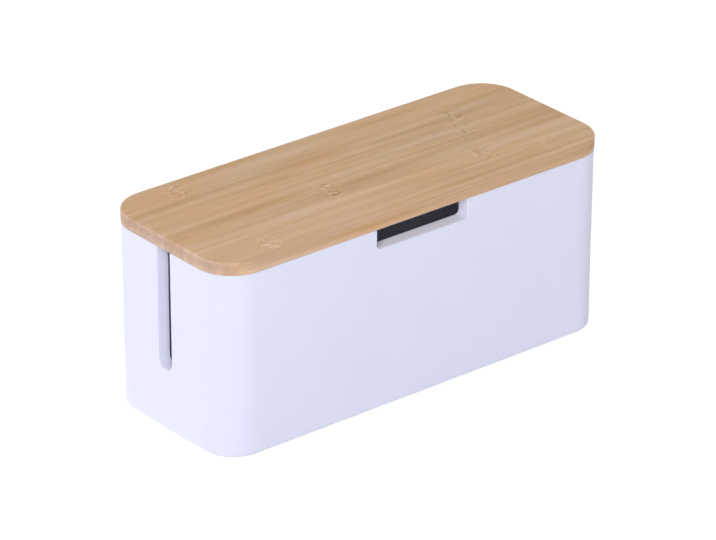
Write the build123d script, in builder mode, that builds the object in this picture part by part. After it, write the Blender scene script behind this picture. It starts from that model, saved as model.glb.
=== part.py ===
from build123d import *
import os

# Cable management box: a moulded tub with a lid of bamboo board that lifts off.
# Millimetres. X runs along the length, -Y is the front, and Z rises from the
# plane that the feet stand on, with the origin at the middle of that plane.

# Tub
tub_length = 318.0  # over the rim
tub_width = 123.0  # over the rim
tub_height = 127.1  # from the underside to the rim
tub_corner_radius = 24.5  # upright corners, at the rim
draft_angle = 0.28  # degrees, the walls close in towards the floor
wall = 3.0
floor_thickness = 3.2
base_rounding = 2.0  # outside edge of the underside
floor_rounding = 4.0  # inside edge of the floor
rim_chamfer = 0.4

# Openings, all open at the rim
notch_width = 75.0  # cable way and finger hold in the front wall
notch_depth = 14.2
notch_corner_radius = 3.5
slot_width = 13.4  # cable slots in the end walls
slot_depth = 84.8
slot_offset = 1.8  # the slots lie this far behind the middle
collar_reach = 9.3  # from the outside of the rim to the inner lip of each opening
collar_wall = 2.6
opening_rounding = 0.9  # outside edges of the openings

# Lid
lid_thickness = 9.4
lid_overhang = 1.0
lid_corner_radius = 27.0
lid_rounding = 1.3  # top edge
lid_underside_chamfer = 0.6
tongue_depth = 3.5
tongue_clearance = 1.0  # from the tongue to the walls and the collars
tongue_chamfer = 0.8
cutter_radius = 2.5  # inside corners of the tongue's pockets over the collars

# Feet
foot_diameter = 14.0
foot_thickness = 2.0
foot_recess = 1.0
foot_clearance = 0.2  # round each foot in its recess
foot_inset = 24.0  # foot centre from the outside of the rim
foot_chamfer = 0.4

# Heights and places that follow from these
underside_height = foot_thickness - foot_recess
floor_height = underside_height + floor_thickness
rim_height = underside_height + tub_height
sill_height = rim_height - notch_depth
slot_radius = slot_width / 2
slot_arc_height = rim_height - slot_depth + slot_radius
half_length = tub_length / 2
half_width = tub_width / 2
tongue_inset = wall + tongue_clearance
pocket_reach = collar_reach + tongue_clearance
pocket_margin = collar_wall + tongue_clearance  # beside each opening
foot_side = half_length - foot_inset
foot_front = half_width - foot_inset

os.makedirs("parts", exist_ok=True)


def notch_outline(grow):
    """Front view of the notch, its sides and sill moved out by grow."""
    half_opening = notch_width / 2 + grow
    bottom = sill_height - grow
    with BuildSketch() as outline:
        with BuildLine():
            FilletPolyline(
                (-half_opening, rim_height),
                (-half_opening, bottom),
                (half_opening, bottom),
                (half_opening, rim_height),
                radius=notch_corner_radius + grow,
            )
            Line((half_opening, rim_height), (-half_opening, rim_height))
        make_face()
    return outline.sketch


def slot_outline(grow):
    """End view of a slot with its round bottom, moved out by grow."""
    with BuildSketch() as outline:
        with Locations((0, slot_arc_height)):
            Circle(slot_radius + grow)
            Rectangle(
                slot_width + grow * 2,
                rim_height - slot_arc_height,
                align=(Align.CENTER, Align.MIN),
            )
    return outline.sketch


# Each opening as the outside plane of its wall and its outline in that plane
openings = [
    (Plane.front.offset(half_width), notch_outline),
    (Plane((-half_length, slot_offset, 0), (0, -1, 0), (-1, 0, 0)), slot_outline),
    (Plane((half_length, slot_offset, 0), (0, 1, 0), (1, 0, 0)), slot_outline),
]

foot_places = {
    "foot_front_left": (-foot_side, -foot_front),
    "foot_front_right": (foot_side, -foot_front),
    "foot_back_left": (-foot_side, foot_front),
    "foot_back_right": (foot_side, foot_front),
}

# The tub is drawn at its rim and closes in downwards by its draft.
with BuildPart() as tub:
    with BuildSketch(Plane.XY.offset(rim_height)):
        RectangleRounded(tub_length, tub_width, tub_corner_radius)
    extrude(amount=-tub_height, taper=draft_angle)
    fillet(tub.faces().sort_by(Axis.Z)[0].edges(), base_rounding)

    # Hollow
    with BuildSketch(Plane.XY.offset(rim_height)):
        RectangleRounded(
            tub_length - wall * 2, tub_width - wall * 2, tub_corner_radius - wall
        )
    extrude(amount=floor_height - rim_height, taper=draft_angle, mode=Mode.SUBTRACT)
    fillet(tub.faces().filter_by(Axis.Z).sort_by(Axis.Z)[1].edges(), floor_rounding)

    # Collars first, so that each opening then cuts its collar and wall as one
    for outside, outline in openings:
        with BuildSketch(outside.offset(-wall / 2)):
            add(outline(collar_wall))
        extrude(amount=-(collar_reach - wall / 2))
    for outside, outline in openings:
        with BuildSketch(outside):
            add(outline(0))
        extrude(amount=-collar_reach, mode=Mode.SUBTRACT)
        outward = Axis(outside.origin, outside.z_dir)
        outer_lip = tub.edges(Select.NEW).filter_by_position(outward, -wall, wall)
        fillet(outer_lip, opening_rounding)
    chamfer(tub.faces().filter_by(Axis.Z).group_by(Axis.Z)[-1].edges(), rim_chamfer)

    # Recesses for the feet
    with BuildSketch(Plane.XY.offset(underside_height)):
        with Locations(*foot_places.values()):
            Circle(foot_diameter / 2 + foot_clearance)
    extrude(amount=foot_recess, mode=Mode.SUBTRACT)
tub.part.label = "tub"
export_step(tub.part, "parts/tub.step")

# The lid lies on the rim. Its tongue drops in between the walls, with pockets
# milled in it that leave room for the collars.
with BuildPart() as lid_board:
    with BuildSketch(Plane.XY.offset(rim_height)):
        RectangleRounded(
            tub_length + lid_overhang * 2,
            tub_width + lid_overhang * 2,
            lid_corner_radius,
        )
    extrude(amount=lid_thickness)
    fillet(lid_board.faces().sort_by(Axis.Z)[-1].edges(), lid_rounding)
    chamfer(lid_board.faces().sort_by(Axis.Z)[0].edges(), lid_underside_chamfer)
    with BuildSketch(Plane.XY.offset(rim_height)):
        RectangleRounded(
            tub_length - tongue_inset * 2,
            tub_width - tongue_inset * 2,
            tub_corner_radius - tongue_inset,
        )
        with Locations((0, -half_width)):
            RectangleRounded(
                notch_width + pocket_margin * 2,
                pocket_reach * 2,
                cutter_radius,
                mode=Mode.SUBTRACT,
            )
        with Locations((-half_length, slot_offset), (half_length, slot_offset)):
            RectangleRounded(
                pocket_reach * 2,
                slot_width + pocket_margin * 2,
                cutter_radius,
                mode=Mode.SUBTRACT,
            )
    extrude(amount=-tongue_depth)
    chamfer(lid_board.faces().sort_by(Axis.Z)[0].edges(), tongue_chamfer)
lid_board.part.label = "lid_board"
export_step(lid_board.part, "parts/lid_board.step")

for foot_name, foot_place in foot_places.items():
    with BuildPart() as foot:
        with BuildSketch():
            with Locations(foot_place):
                Circle(foot_diameter / 2)
        extrude(amount=foot_thickness)
        chamfer(foot.faces().sort_by(Axis.Z)[0].edges(), foot_chamfer)
    foot.part.label = foot_name
    export_step(foot.part, f"parts/{foot_name}.step")
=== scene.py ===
import math
from functools import partial

import bpy
from mathutils import Matrix, Vector


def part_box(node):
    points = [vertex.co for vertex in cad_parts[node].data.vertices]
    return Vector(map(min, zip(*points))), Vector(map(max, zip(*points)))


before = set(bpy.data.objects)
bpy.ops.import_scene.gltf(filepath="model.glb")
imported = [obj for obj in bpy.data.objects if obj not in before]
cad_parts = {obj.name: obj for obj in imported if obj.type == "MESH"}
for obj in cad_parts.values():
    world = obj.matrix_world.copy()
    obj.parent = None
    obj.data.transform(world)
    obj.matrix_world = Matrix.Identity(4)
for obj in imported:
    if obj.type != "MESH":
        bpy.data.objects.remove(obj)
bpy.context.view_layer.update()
scene = bpy.context.scene
print("frame loaded:", ", ".join(sorted(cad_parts)))

mmPerMetre = 1000.0  # the scene is in metres, and the finishes are given in millimetres
noiseMiddle = 0.5  # what a noise gives on average


def toLinear(hexCode):
    # sRGB hex to the linear light that the sockets want, with alpha 1
    channels = [int(hexCode[i:i + 2], 16) / 255 for i in (1, 3, 5)]
    linear = [c / 12.92 if c <= 0.04045 else ((c + 0.055) / 1.055) ** 2.4 for c in channels]
    return (*linear, 1.0)


def addNode(tree, kind, settings):
    # a key is an input's name or number, or else a property; a value may be another node's output
    node = tree.nodes.new("ShaderNode" + kind)
    for key, value in settings.items():
        if isinstance(value, bpy.types.NodeSocket):
            tree.links.new(value, node.inputs[key])
        elif isinstance(key, int) or key in node.inputs:
            node.inputs[key].default_value = value
        else:
            setattr(node, key, value)
    return node


def setStops(ramp, stops):
    # a colour ramp starts with two stops of its own, and the others are added
    elements = ramp.color_ramp.elements
    for i, (position, colour) in enumerate(stops):
        stop = elements[i] if i < 2 else elements.new(position)
        stop.position = position
        stop.color = colour


def grey(level):
    return (level, level, level, 1.0)


def newMaterial(name):
    # the second thing returned adds a node to this material
    material = bpy.data.materials.new(name)
    material.use_nodes = True
    material.node_tree.nodes.clear()
    return material, partial(addNode, material.node_tree)


def dress(nodeName, material):
    # a carried-over solid keeps its mesh and takes the finish
    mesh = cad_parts[nodeName].data
    mesh.materials.clear()
    mesh.materials.append(material)


tubFinish = {
    "colour": "#E7E9FA",  # cool white masterbatch
    "colourDeep": "#E4E6F8",  # in the deepest of the flow marks
    "mottleMm": 35.0,  # faint flow marks of the melt
    "wavesMm": 60.0,  # long, hardly visible waves of a moulded wall
    "wavesDepthMm": 0.05,
    "sparkGrainMm": 0.45,  # eroded mould skin; its real grain of 0.1 mm is too fine to show
    "sparkDepthMm": 0.010,
    "ior": 1.53,
    "roughness": 0.55,
    "powder": 0.65,  # how evenly the matt skin scatters, so that rounded corners look flat, not shiny
}


def mouldedAbs(finish):
    # injection-moulded ABS from a spark-eroded mould: even, cool white and powdery, with a faint wide sheen
    material, add = newMaterial("mouldedWhiteAbs")
    place = add("TexCoord", {}).outputs["Object"]
    mottle = add("TexNoise", {"Vector": place, "Scale": mmPerMetre / finish["mottleMm"], "Detail": 2.0})
    # a colour Mix has its share at input 0 and its colours at 6 and 7, and gives the blend at output 2
    tone = add("Mix", {"data_type": "RGBA", 0: mottle.outputs["Fac"], 6: toLinear(finish["colour"]),
                       7: toLinear(finish["colourDeep"])})
    waves = add("TexNoise", {"Vector": place, "Scale": mmPerMetre / finish["wavesMm"], "Detail": 0.0})
    wavy = add("Bump", {"Height": waves.outputs["Fac"], "Distance": finish["wavesDepthMm"] / mmPerMetre})
    grain = add("TexNoise", {"Vector": place, "Scale": mmPerMetre / finish["sparkGrainMm"], "Detail": 1.0})
    skin = add("Bump", {"Height": grain.outputs["Fac"], "Distance": finish["sparkDepthMm"] / mmPerMetre,
                        "Normal": wavy.outputs["Normal"]})
    shader = add("BsdfPrincipled", {"Base Color": tone.outputs[2], "IOR": finish["ior"],
                                    "Roughness": finish["roughness"], "Diffuse Roughness": finish["powder"],
                                    "Normal": skin.outputs["Normal"]})
    add("OutputMaterial", {"Surface": shader.outputs["BSDF"]})
    return material


dress("tub", mouldedAbs(tubFinish))
print("tub dressed")


footFinish = {
    "colour": "#39393C",  # filled with carbon black
    "dustColour": "#505055",
    "grainMm": 0.5,  # texture of the mould
    "grainDepthMm": 0.02,
    "ior": 1.52,
    "roughness": 0.8,
}


def mouldedRubber(finish):
    # compression-moulded rubber: dark and matt, a little paler where dust sits in its fine grain
    material, add = newMaterial("mouldedDarkRubber")
    place = add("TexCoord", {}).outputs["Object"]
    grain = add("TexNoise", {"Vector": place, "Scale": mmPerMetre / finish["grainMm"], "Detail": 2.0})
    tone = add("Mix", {"data_type": "RGBA", 0: grain.outputs["Fac"], 6: toLinear(finish["dustColour"]),
                       7: toLinear(finish["colour"])})
    skin = add("Bump", {"Height": grain.outputs["Fac"], "Distance": finish["grainDepthMm"] / mmPerMetre})
    shader = add("BsdfPrincipled", {"Base Color": tone.outputs[2], "IOR": finish["ior"],
                                    "Roughness": finish["roughness"], "Normal": skin.outputs["Normal"]})
    add("OutputMaterial", {"Surface": shader.outputs["BSDF"]})
    return material


rubber = mouldedRubber(footFinish)
for footName in ("foot_front_left", "foot_front_right", "foot_back_left", "foot_back_right"):
    dress(footName, rubber)
print("feet dressed")


lidFinish = {
    # the wood from its darkest fibres to its palest flesh, each at a tone from 0 to 1
    "woodStops": [(0.0, "#A67C4C"), (0.3, "#BE9668"), (0.5, "#CAA47B"), (0.7, "#D3AD89"), (1.0, "#E4C3A4")],
    "endFacing": (0.4, 0.9),  # slant towards X at which the end grain starts to show and is full
    "endHue": 0.489,  # end grain is a little pinker; 0.5 would leave the hue as it is
    "endSaturation": 0.8,  # and duller
    "endValue": 0.925,
    "boardMm": 9.4,  # thickness
    # the tone of the sides by depth in mm: a pale line along the top edge, a painted highlight of the
    # rounded edge together with the paler sanded arris, then a duller band, and a paler one above the
    # underside
    "sideTonesAndHighlight": [(0.0, 0.5), (0.9, 0.66), (2.2, 0.44), (5.0, 0.46), (7.2, 0.66), (8.6, 0.62), (9.4, 0.5)],
    "sideEven": 0.5,  # the one of these tones that changes nothing
    "stripMm": 19.1,  # width of the bamboo strips that the board is glued up from
    "firstJointMm": -59.1,  # Y of the frontmost glue line
    "laneMm": 1000.0,  # how far apart the pattern takes the strips to lie, so that none shows in the next
    "stripTones": [0.59, 0.63, 0.47, 0.54, 0.47, 0.54, 0.52],  # from the front strip to the back one
    "paintedSheenPerMm": -0.0005,  # painted sheen: the board is a little paler towards its left-hand end, where the light falls
    # fibres: length along X and width across in mm, and how strongly they tint the wood
    "fibres": [(120.0, 6.0, 0.51), (70.0, 2.6, 0.14), (24.0, 0.9, 0.13), (9.0, 0.3, 0.22)],
    "wanderMm": (120.0, 2.4),  # how long and how wide the bends of the fibres are
    "bundle": (150.0, 1.5, -0.16),  # length, width and tone of the odd dark bundle of fibres
    "bundleNoise": (0.60, 0.74),  # the noise that makes a bundle, from its edge to its heart
    "glueHalfMm": 0.6,  # half the width drawn; the real line of 0.1 mm is too fine to show
    "glueTone": -0.3,  # what the glue does to the tone
    # runs where the glue shows: X of the middle in mm, number of the joint from the front, half length
    # in mm, strength
    "glueRuns": [(-105, 0, 45, 1.3), (70, 1, 40, 0.4), (-105, 2, 60, 1.0), (-40, 2, 30, 0.6),
                 (-115, 3, 45, 0.6), (-120, 4, 40, 0.7), (110, 4, 55, 0.9), (-20, 5, 60, 0.9),
                 (30, 6, 50, 0.5)],
    "glueFull": 0.5,  # the middle share of a run that is at full strength
    # knuckles of the cane, in the same way but with the number of the strip
    "knuckles": [(-115, 0, 13, 0.85), (116, 0, 10, 0.6), (77, 1, 9, 0.8), (-36, 2, 9, 0.95),
                 (91, 3, 10, 0.8), (100, 4, 10, 0.9), (-113, 5, 12, 0.95)],
    "knuckleFull": 0.0,  # a knuckle is at full strength only at its heart
    "wobbleMm": 7.0,  # size of the bends in a knuckle's outline
    "strayMm": 16.0,  # how far they reach
    "curlMm": 4.0,  # how far the fibres curl in a knuckle
    "flecks": [(3.6, 1.9), (1.7, 1.5)],  # size in mm and strength of the flecks in a knuckle
    "patchMm": (90.0, 16.0),  # length and width of patches of duller and richer wood
    "patchNoise": (0.3, 0.7),  # the noise that makes them, from the dullest to the richest
    "patchSaturation": (0.9, 1.06),
    "ior": 1.5,
    "roughness": (0.68, 0.58),  # dark fibres hold less lacquer than pale flesh
    "powder": 0.4,  # how evenly the matt film scatters
    "fibreDepthMm": 0.05,  # relief between the palest and the darkest fibres
}


def runStrength(add, lanePlace, runs, laneMm, fullShare):
    # strength of the run that a place lies in: full over the run's middle share, and none past its ends
    found = 0.0
    for x, lane, halfMm, strength in runs:
        middle = (x, lane * laneMm, 0.0)
        away = add("VectorMath", {"operation": "DISTANCE", 0: lanePlace, 1: middle}).outputs["Value"]
        near = add("MapRange", {"interpolation_type": "SMOOTHSTEP", "Value": away, "From Min": halfMm,
                                "From Max": halfMm * fullShare, "To Max": strength}).outputs[0]
        found = add("Math", {"operation": "MAXIMUM", 0: near, 1: found}).outputs[0]
    return found


def boardTone(add, finish):
    # how pale the wood is, and where a point lies in the cane that its fibres grew in
    place = add("TexCoord", {}).outputs["Object"]
    mm = add("VectorMath", {"operation": "SCALE", 0: place, "Scale": mmPerMetre}).outputs[0]
    along, across, up = add("SeparateXYZ", {0: mm}).outputs
    fromJoint = add("Math", {"operation": "SUBTRACT", 0: across, 1: finish["firstJointMm"]}).outputs[0]
    strips = add("Math", {"operation": "DIVIDE", 0: fromJoint, 1: finish["stripMm"]}).outputs[0]
    number = add("Math", {"operation": "FLOOR", 0: strips}).outputs[0]

    # knuckles: each lies in its own strip, with the strips set far apart in Y
    wobble = add("TexNoise", {"Vector": mm, "Scale": 1 / finish["wobbleMm"], "Detail": 1.0}).outputs["Fac"]
    wobbled = add("Math", {"operation": "SUBTRACT", 0: wobble, 1: noiseMiddle}).outputs[0]
    strayed = add("Math", {"operation": "MULTIPLY_ADD", 0: wobbled, 1: finish["strayMm"],
                           2: along}).outputs[0]
    lane = add("Math", {"operation": "MULTIPLY", 0: number, 1: finish["laneMm"]}).outputs[0]
    cane = add("CombineXYZ", {0: strayed, 1: lane}).outputs[0]
    knuckle = runStrength(add, cane, finish["knuckles"], finish["laneMm"], finish["knuckleFull"])

    # fibres: each strip is another length of cane, so it has other fibres; they wander, and curl at knuckles
    shift = add("Math", {"operation": "MULTIPLY_ADD", 0: number, 1: finish["laneMm"], 2: along}).outputs[0]
    bendMm, swayMm = finish["wanderMm"]
    wander = add("TexNoise", {"Vector": mm, "Scale": 1 / bendMm, "Detail": 0.0}).outputs["Fac"]
    swayed = add("Math", {"operation": "MULTIPLY_ADD", 0: wander, 1: swayMm, 2: across}).outputs[0]
    curl = add("TexNoise", {"Vector": mm, "Scale": 1 / finish["wobbleMm"], "Detail": 0.0}).outputs["Fac"]
    curlMm = add("Math", {"operation": "MULTIPLY", 0: knuckle, 1: finish["curlMm"]}).outputs[0]
    curled = add("Math", {"operation": "MULTIPLY_ADD", 0: curl, 1: curlMm, 2: swayed}).outputs[0]
    fibre = add("CombineXYZ", {0: shift, 1: curled, 2: up}).outputs[0]

    # tone from 0, dark, to 1, pale: the strip's own, then every kind of fibre
    stripCount = len(finish["stripTones"])
    stripShare = add("Math", {"operation": "DIVIDE", 0: strips, 1: float(stripCount)}).outputs[0]
    stripRamp = add("ValToRGB", {"Fac": stripShare})
    stripRamp.color_ramp.interpolation = "CONSTANT"
    setStops(stripRamp, [(i / stripCount, grey(level)) for i, level in enumerate(finish["stripTones"])])
    # a painted sheen pales the board towards its left-hand end, on top of the strip's own tone
    tone = add("Math", {"operation": "MULTIPLY_ADD", 0: along, 1: finish["paintedSheenPerMm"],
                        2: stripRamp.outputs["Color"]}).outputs[0]
    for length, width, weight in finish["fibres"]:
        stretch = (1 / length, 1 / width, 1 / width)
        stretched = add("VectorMath", {"operation": "MULTIPLY", 0: fibre, 1: stretch}).outputs[0]
        noise = add("TexNoise", {"Vector": stretched, "Scale": 1.0, "Detail": 0.0}).outputs["Fac"]
        centred = add("Math", {"operation": "SUBTRACT", 0: noise, 1: noiseMiddle}).outputs[0]
        tone = add("Math", {"operation": "MULTIPLY_ADD", 0: centred, 1: weight, 2: tone}).outputs[0]

    # odd dark bundles, where a long thin noise runs high
    length, width, bundleTone = finish["bundle"]
    bundleEdge, bundleHeart = finish["bundleNoise"]
    stretch = (1 / length, 1 / width, 1 / width)
    stretched = add("VectorMath", {"operation": "MULTIPLY", 0: fibre, 1: stretch}).outputs[0]
    noise = add("TexNoise", {"Vector": stretched, "Scale": 1.0, "Detail": 0.0}).outputs["Fac"]
    bundle = add("MapRange", {"interpolation_type": "SMOOTHSTEP", "Value": noise, "From Min": bundleEdge,
                              "From Max": bundleHeart, "To Max": bundleTone}).outputs[0]
    tone = add("Math", {"operation": "ADD", 0: tone, 1: bundle}).outputs[0]

    # glue lines: dark along runs of the joints
    joint = add("Math", {"operation": "ROUND", 0: strips}).outputs[0]
    jointLane = add("Math", {"operation": "MULTIPLY", 0: joint, 1: finish["laneMm"]}).outputs[0]
    seam = add("CombineXYZ", {0: along, 1: jointLane}).outputs[0]
    glue = runStrength(add, seam, finish["glueRuns"], finish["laneMm"], finish["glueFull"])
    halfStrip = 0.5  # the furthest that a point can be from a joint, in strips
    offJoint = add("Math", {"operation": "PINGPONG", 0: strips, 1: halfStrip}).outputs[0]
    line = add("MapRange", {"Value": offJoint, "From Min": finish["glueHalfMm"] / finish["stripMm"],
                            "From Max": 0.0, "To Max": finish["glueTone"]}).outputs[0]
    tone = add("Math", {"operation": "MULTIPLY_ADD", 0: line, 1: glue, 2: tone}).outputs[0]

    # flecks in the knuckles
    for sizeMm, fleckTone in finish["flecks"]:
        fleck = add("TexNoise", {"Vector": mm, "Scale": 1 / sizeMm, "Detail": 1.0, "Distortion": 1.0})
        centred = add("Math", {"operation": "SUBTRACT", 0: fleck.outputs["Fac"], 1: noiseMiddle}).outputs[0]
        fleckHere = add("Math", {"operation": "MULTIPLY", 0: knuckle, 1: fleckTone}).outputs[0]
        tone = add("Math", {"operation": "MULTIPLY_ADD", 0: centred, 1: fleckHere, 2: tone}).outputs[0]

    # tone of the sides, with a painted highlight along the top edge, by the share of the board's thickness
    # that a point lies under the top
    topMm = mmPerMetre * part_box("lid_board")[1][2]
    depth = add("MapRange", {"Value": up, "From Min": topMm,
                             "From Max": topMm - finish["boardMm"]}).outputs[0]
    sideToneAndHighlight = add("ValToRGB", {"Fac": depth})
    setStops(sideToneAndHighlight, [(atMm / finish["boardMm"], grey(level)) for atMm, level in finish["sideTonesAndHighlight"]])
    fromEven = add("Math", {"operation": "SUBTRACT", 0: sideToneAndHighlight.outputs["Color"],
                            1: finish["sideEven"]}).outputs[0]
    tone = add("Math", {"operation": "ADD", 0: tone, 1: fromEven}).outputs[0]
    return tone, fibre


def lacqueredBamboo(finish):
    # bamboo strips glued edge to edge, sanded, under a thin matt lacquer: long straight fibres,
    # strips of slightly different tone, and knuckles where the fibres curl into pale and dark flecks
    material, add = newMaterial("lacqueredBamboo")
    tone, fibre = boardTone(add, finish)

    # the tone becomes wood, in patches of duller and richer colour
    wood = add("ValToRGB", {"Fac": tone})
    setStops(wood, [(position, toLinear(colour)) for position, colour in finish["woodStops"]])
    length, width = finish["patchMm"]
    noiseDull, noiseRich = finish["patchNoise"]
    dull, rich = finish["patchSaturation"]
    stretch = (1 / length, 1 / width, 1 / width)
    stretched = add("VectorMath", {"operation": "MULTIPLY", 0: fibre, 1: stretch}).outputs[0]
    noise = add("TexNoise", {"Vector": stretched, "Scale": 1.0, "Detail": 1.0}).outputs["Fac"]
    saturation = add("MapRange", {"Value": noise, "From Min": noiseDull, "From Max": noiseRich,
                                  "To Min": dull, "To Max": rich}).outputs[0]
    tinted = add("HueSaturation", {"Color": wood.outputs["Color"], "Saturation": saturation})

    # end grain where the surface faces along X
    facing = add("SeparateXYZ", {0: add("TexCoord", {}).outputs["Normal"]}).outputs[0]
    lengthwise = add("Math", {"operation": "ABSOLUTE", 0: facing}).outputs[0]
    first, full = finish["endFacing"]
    endGrain = add("MapRange", {"Value": lengthwise, "From Min": first, "From Max": full}).outputs[0]
    coloured = add("HueSaturation", {"Fac": endGrain, "Color": tinted.outputs["Color"],
                                     "Hue": finish["endHue"], "Saturation": finish["endSaturation"],
                                     "Value": finish["endValue"]})

    # the lacquer follows the fibres
    dry, sealed = finish["roughness"]
    film = add("MapRange", {"Value": tone, "To Min": dry, "To Max": sealed}).outputs[0]
    skin = add("Bump", {"Height": tone, "Distance": finish["fibreDepthMm"] / mmPerMetre})
    shader = add("BsdfPrincipled", {"Base Color": coloured.outputs["Color"], "IOR": finish["ior"],
                                    "Roughness": film, "Diffuse Roughness": finish["powder"],
                                    "Normal": skin.outputs["Normal"]})
    add("OutputMaterial", {"Surface": shader.outputs["BSDF"]})
    return material


dress("lid_board", lacqueredBamboo(lidFinish))
print("lid dressed")


studio = {
    "floorHalf": 6.0,  # metres from the middle to each side
    "floorColour": "#FAFAFB",
    "floorGlow": 0.46,  # seen by the camera and in gloss only, so it whitens the floor and lights nothing
    "glowReach": (0.4, 1.4),  # metres from the object over which the glow rises to full white
    "skyColour": "#FFFFFF",
    "skyLevel": 0.15,  # what it lights the object with; as a background it is at its full white
    # soft boxes: azimuth and elevation in degrees as for the camera, distance and side in metres, watts
    "lamps": {
        "frontLeft": (-45.5, 29, 3.4, 2.1, 78.5),
        "right": (110, 28, 2.6, 1.6, 19.0),
        "back": (-164, 32, 2.6, 1.6, 32.0),
    },
}


def outward(azimuth, elevation):
    # unit vector from the object; azimuth 0 is the front, and it grows towards the right-hand end
    turn, rise = math.radians(azimuth), math.radians(elevation)
    return Vector((math.sin(turn) * math.cos(rise), -math.cos(turn) * math.cos(rise), math.sin(rise)))


def backdropRays(add):
    # 1 for the rays that should find a white studio, and 0 for those that light the object
    rays = add("LightPath", {}).outputs
    through = rays["Is Transmission Ray"]
    seen = add("Math", {"operation": "ADD", 0: rays["Is Camera Ray"], 1: rays["Is Glossy Ray"]}).outputs[0]
    return add("Math", {"operation": "ADD", "use_clamp": True, 0: seen, 1: through}).outputs[0]


def makeFloor(setup):
    half = setup["floorHalf"]
    corners = [(-half, -half, 0), (half, -half, 0), (half, half, 0), (-half, half, 0)]
    mesh = bpy.data.meshes.new("floor")
    mesh.from_pydata(corners, [], [(0, 1, 2, 3)])
    floor = bpy.data.objects.new("floor", mesh)
    scene.collection.objects.link(floor)
    material, add = newMaterial("paleStudioFloor")
    matt = add("BsdfDiffuse", {"Color": toLinear(setup["floorColour"])}).outputs[0]
    place = add("TexCoord", {}).outputs["Object"]
    away = add("VectorMath", {"operation": "LENGTH", 0: place}).outputs["Value"]
    near, far = setup["glowReach"]
    level = add("MapRange", {"Value": away, "From Min": near, "From Max": far, "To Min": setup["floorGlow"],
                             "To Max": 1.0}).outputs[0]
    glow = add("Emission", {"Strength": level}).outputs[0]
    lifted = add("AddShader", {0: matt, 1: glow}).outputs[0]
    seen = add("MixShader", {0: backdropRays(add), 1: matt, 2: lifted}).outputs[0]
    add("OutputMaterial", {"Surface": seen})
    mesh.materials.append(material)


def makeLamps(setup):
    for name, (azimuth, elevation, distance, side, watts) in setup["lamps"].items():
        lamp = bpy.data.lights.new(name, "AREA")
        lamp.shape = "SQUARE"
        lamp.size = side
        lamp.energy = watts
        holder = bpy.data.objects.new(name, lamp)
        away = outward(azimuth, elevation)
        holder.location = away * distance
        holder.rotation_euler = (-away).to_track_quat("-Z", "Y").to_euler()
        scene.collection.objects.link(holder)


def makeSky(setup):
    world = bpy.data.worlds.new("studioSky")
    world.use_nodes = True
    world.node_tree.nodes.clear()
    add = partial(addNode, world.node_tree)
    colour = toLinear(setup["skyColour"])
    dim = add("Background", {"Color": colour, "Strength": setup["skyLevel"]}).outputs[0]
    white = add("Background", {"Color": colour, "Strength": 1.0}).outputs[0]
    sky = add("MixShader", {0: backdropRays(add), 1: dim, 2: white}).outputs[0]
    add("OutputWorld", {"Surface": sky})
    scene.world = world


makeFloor(studio)
makeLamps(studio)
makeSky(studio)
scene.view_settings.view_transform = "Standard"
print("studio set up")


cameraSetting = {
    "azimuth": -39.451,  # degrees round the object; 0 looks along +Y
    "elevation": 25.907,
    "roll": 0.161,
    "aim": (-0.0025, 0.00031, 0.06594),  # metres
    "distance": 2.9703,  # metres
    "sensor": 36.0,  # mm
    "lens": 230.446,  # mm
}


def makeCamera(setting):
    back = outward(setting["azimuth"], setting["elevation"])
    azimuth, roll = math.radians(setting["azimuth"]), math.radians(setting["roll"])
    right = Vector((math.cos(azimuth), math.sin(azimuth), 0))
    up = back.cross(right)
    turnedRight = right * math.cos(roll) + up * math.sin(roll)
    turnedUp = up * math.cos(roll) - right * math.sin(roll)
    camera = bpy.data.cameras.new("camera")
    camera.sensor_width = setting["sensor"]
    camera.lens = setting["lens"]
    holder = bpy.data.objects.new("camera", camera)
    place = Vector(setting["aim"]) + back * setting["distance"]
    turned = Matrix((turnedRight, turnedUp, back)).transposed().to_4x4()
    holder.matrix_world = Matrix.Translation(place) @ turned
    scene.collection.objects.link(holder)
    scene.camera = holder


makeCamera(cameraSetting)
print("camera placed")
